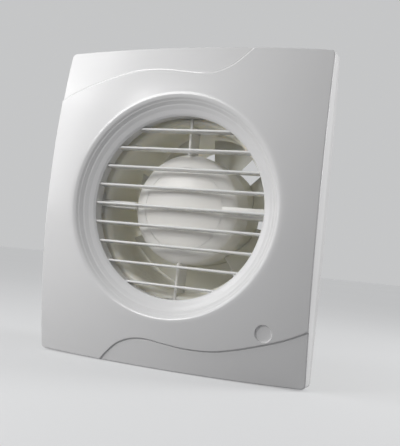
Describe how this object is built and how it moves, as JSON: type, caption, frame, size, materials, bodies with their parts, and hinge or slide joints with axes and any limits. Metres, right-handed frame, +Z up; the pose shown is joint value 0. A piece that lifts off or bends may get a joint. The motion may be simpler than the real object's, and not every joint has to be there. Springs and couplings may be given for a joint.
{
  "type": "extractor fan",
  "caption": "Wall-mounted axial extractor fan: doubly domed square cover with a slatted round funnel, motor cup on four arms, twisted-blade impeller and duct spigot.",
  "frame": {"origin": "where the duct axis meets the wall plane, the plane of the base plate's back face", "axes": "+Y along the duct axis into the wall, in the direction of the air; -Y faces the room; +Z up; +X to the right seen from the room"},
  "size_m": [0.1614, 0.0999, 0.1774],
  "materials": {
    "gloss_white": "polished white ABS",
    "inner_white": "satin white ABS",
    "soft_white": "fine matt white polypropylene",
    "pale_grey": "matt polyamide",
    "nylon": "natural nylon",
    "silicon_steel": "stacked laminations with a thin varnish",
    "zinc_plate": "zinc-plated pressing",
    "bronze": "oil-filled sintered bronze",
    "copper": "bare copper",
    "enamelled_wire": "enamelled copper winding",
    "steel": "bright turned steel",
    "brass": "turned brass",
    "rubber": "black moulded rubber",
    "brown_lead": "brown insulated wire",
    "blue_lead": "blue insulated wire"
  },
  "bodies": {
    "base": {"base_frame": "inner_white", "motor_housing": "inner_white", "motor_cap": "inner_white", "motor_rear_cover": "soft_white", "rear_cover_screw_1": "zinc_plate", "rear_cover_screw_2": "zinc_plate", "rear_cover_screw_3": "zinc_plate", "lead_channel_lid": "inner_white", "stator_core": "silicon_steel", "shading_ring_1": "copper", "shading_ring_2": "copper", "coil_bobbin": "nylon", "coil_winding": "enamelled_wire", "front_bearing_bracket": "zinc_plate", "rear_bearing_bracket": "zinc_plate", "front_bearing": "bronze", "rear_bearing": "bronze", "motor_bolt_1": "steel", "motor_bolt_2": "steel", "motor_lead_live": "brown_lead", "motor_lead_neutral": "blue_lead", "terminal_block": "pale_grey", "terminal_clamp_1": "brass", "terminal_clamp_2": "brass", "terminal_screw_1": "steel", "terminal_screw_2": "steel", "terminal_screw_3": "steel", "terminal_screw_4": "steel", "terminal_fixing_screw": "steel", "cable_grommet": "rubber", "cable_clamp": "nylon", "cable_clamp_screw_1": "steel", "cable_clamp_screw_2": "steel"},
    "rotor": {"rotor_core": "silicon_steel", "rotor_shaft": "steel", "front_thrust_washer": "nylon", "rear_thrust_washer": "nylon", "impeller": "soft_white", "impeller_washer": "steel", "impeller_nut": "brass"},
    "cover": {"front_cover": "gloss_white", "slat_grille": "gloss_white"}
  },
  "joints": [
    {"name": "impeller_spin", "type": "hinge", "parent": "base", "child": "rotor", "pos_m": [0, 0.03, 0], "axis": [0, -1, 0], "continuous": true},
    {"name": "cover_pull_off", "type": "slide", "parent": "base", "child": "cover", "axis": [0, -1, 0], "range_m": [0, 0.03]}
  ]
}
